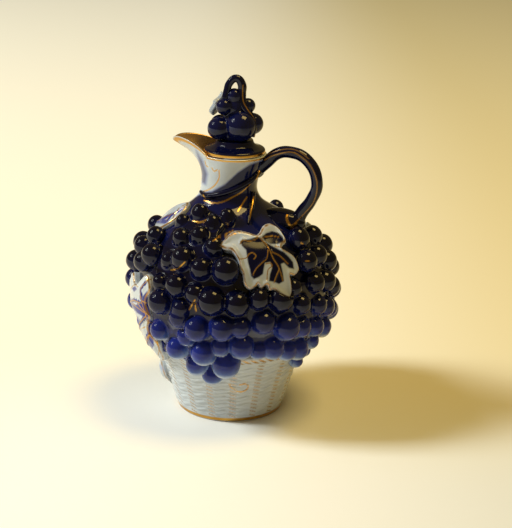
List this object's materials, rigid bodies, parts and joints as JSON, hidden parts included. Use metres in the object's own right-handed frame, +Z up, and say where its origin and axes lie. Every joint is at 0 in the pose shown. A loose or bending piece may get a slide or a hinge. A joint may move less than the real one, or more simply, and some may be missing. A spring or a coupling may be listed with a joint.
{
  "type": "ceramic wine carafe",
  "caption": "Ceramic wine carafe with a round belly covered in grapes and vine leaves in relief, a basket-weave foot, a pouring spout, a loop handle and a lift-off stopper.",
  "frame": {"origin": "middle of the foot, on the surface that the carafe stands on", "axes": "+Z up along the vessel, -X towards the spout, +X towards the handle"},
  "size_m": [0.1421, 0.1452, 0.2198],
  "materials": {
    "vessel_glaze": "gloss white glaze, gilt lines",
    "leaf_glaze": "gloss white glaze with cobalt and gilt veins",
    "cobalt_glaze": "deep gloss cobalt glaze, gilt accents"
  },
  "bodies": {
    "carafe": {"vessel": "vessel_glaze", "handle": "cobalt_glaze", "front_leaf": "leaf_glaze", "front_side_leaf": "leaf_glaze", "front_shoulder_leaf": "leaf_glaze", "back_leaf": "leaf_glaze", "back_side_leaf": "leaf_glaze", "back_shoulder_leaf": "leaf_glaze", "low_leaf": "leaf_glaze", "front_vine": "cobalt_glaze", "back_vine": "cobalt_glaze", "front_leaf_stem": "cobalt_glaze", "front_grapes": "cobalt_glaze", "front_right_grapes": "cobalt_glaze", "back_grapes": "cobalt_glaze", "back_right_grapes": "cobalt_glaze", "handle_grapes": "cobalt_glaze", "spout_grapes": "cobalt_glaze"},
    "stopper": {"stopper": "cobalt_glaze", "stopper_grapes": "cobalt_glaze", "stopper_stem": "cobalt_glaze", "stopper_leaf": "leaf_glaze"}
  },
  "joints": [
    {"name": "stopper_lift", "type": "slide", "parent": "carafe", "child": "stopper", "axis": [0, 0, 1], "range_m": [0, 0.06]}
  ]
}
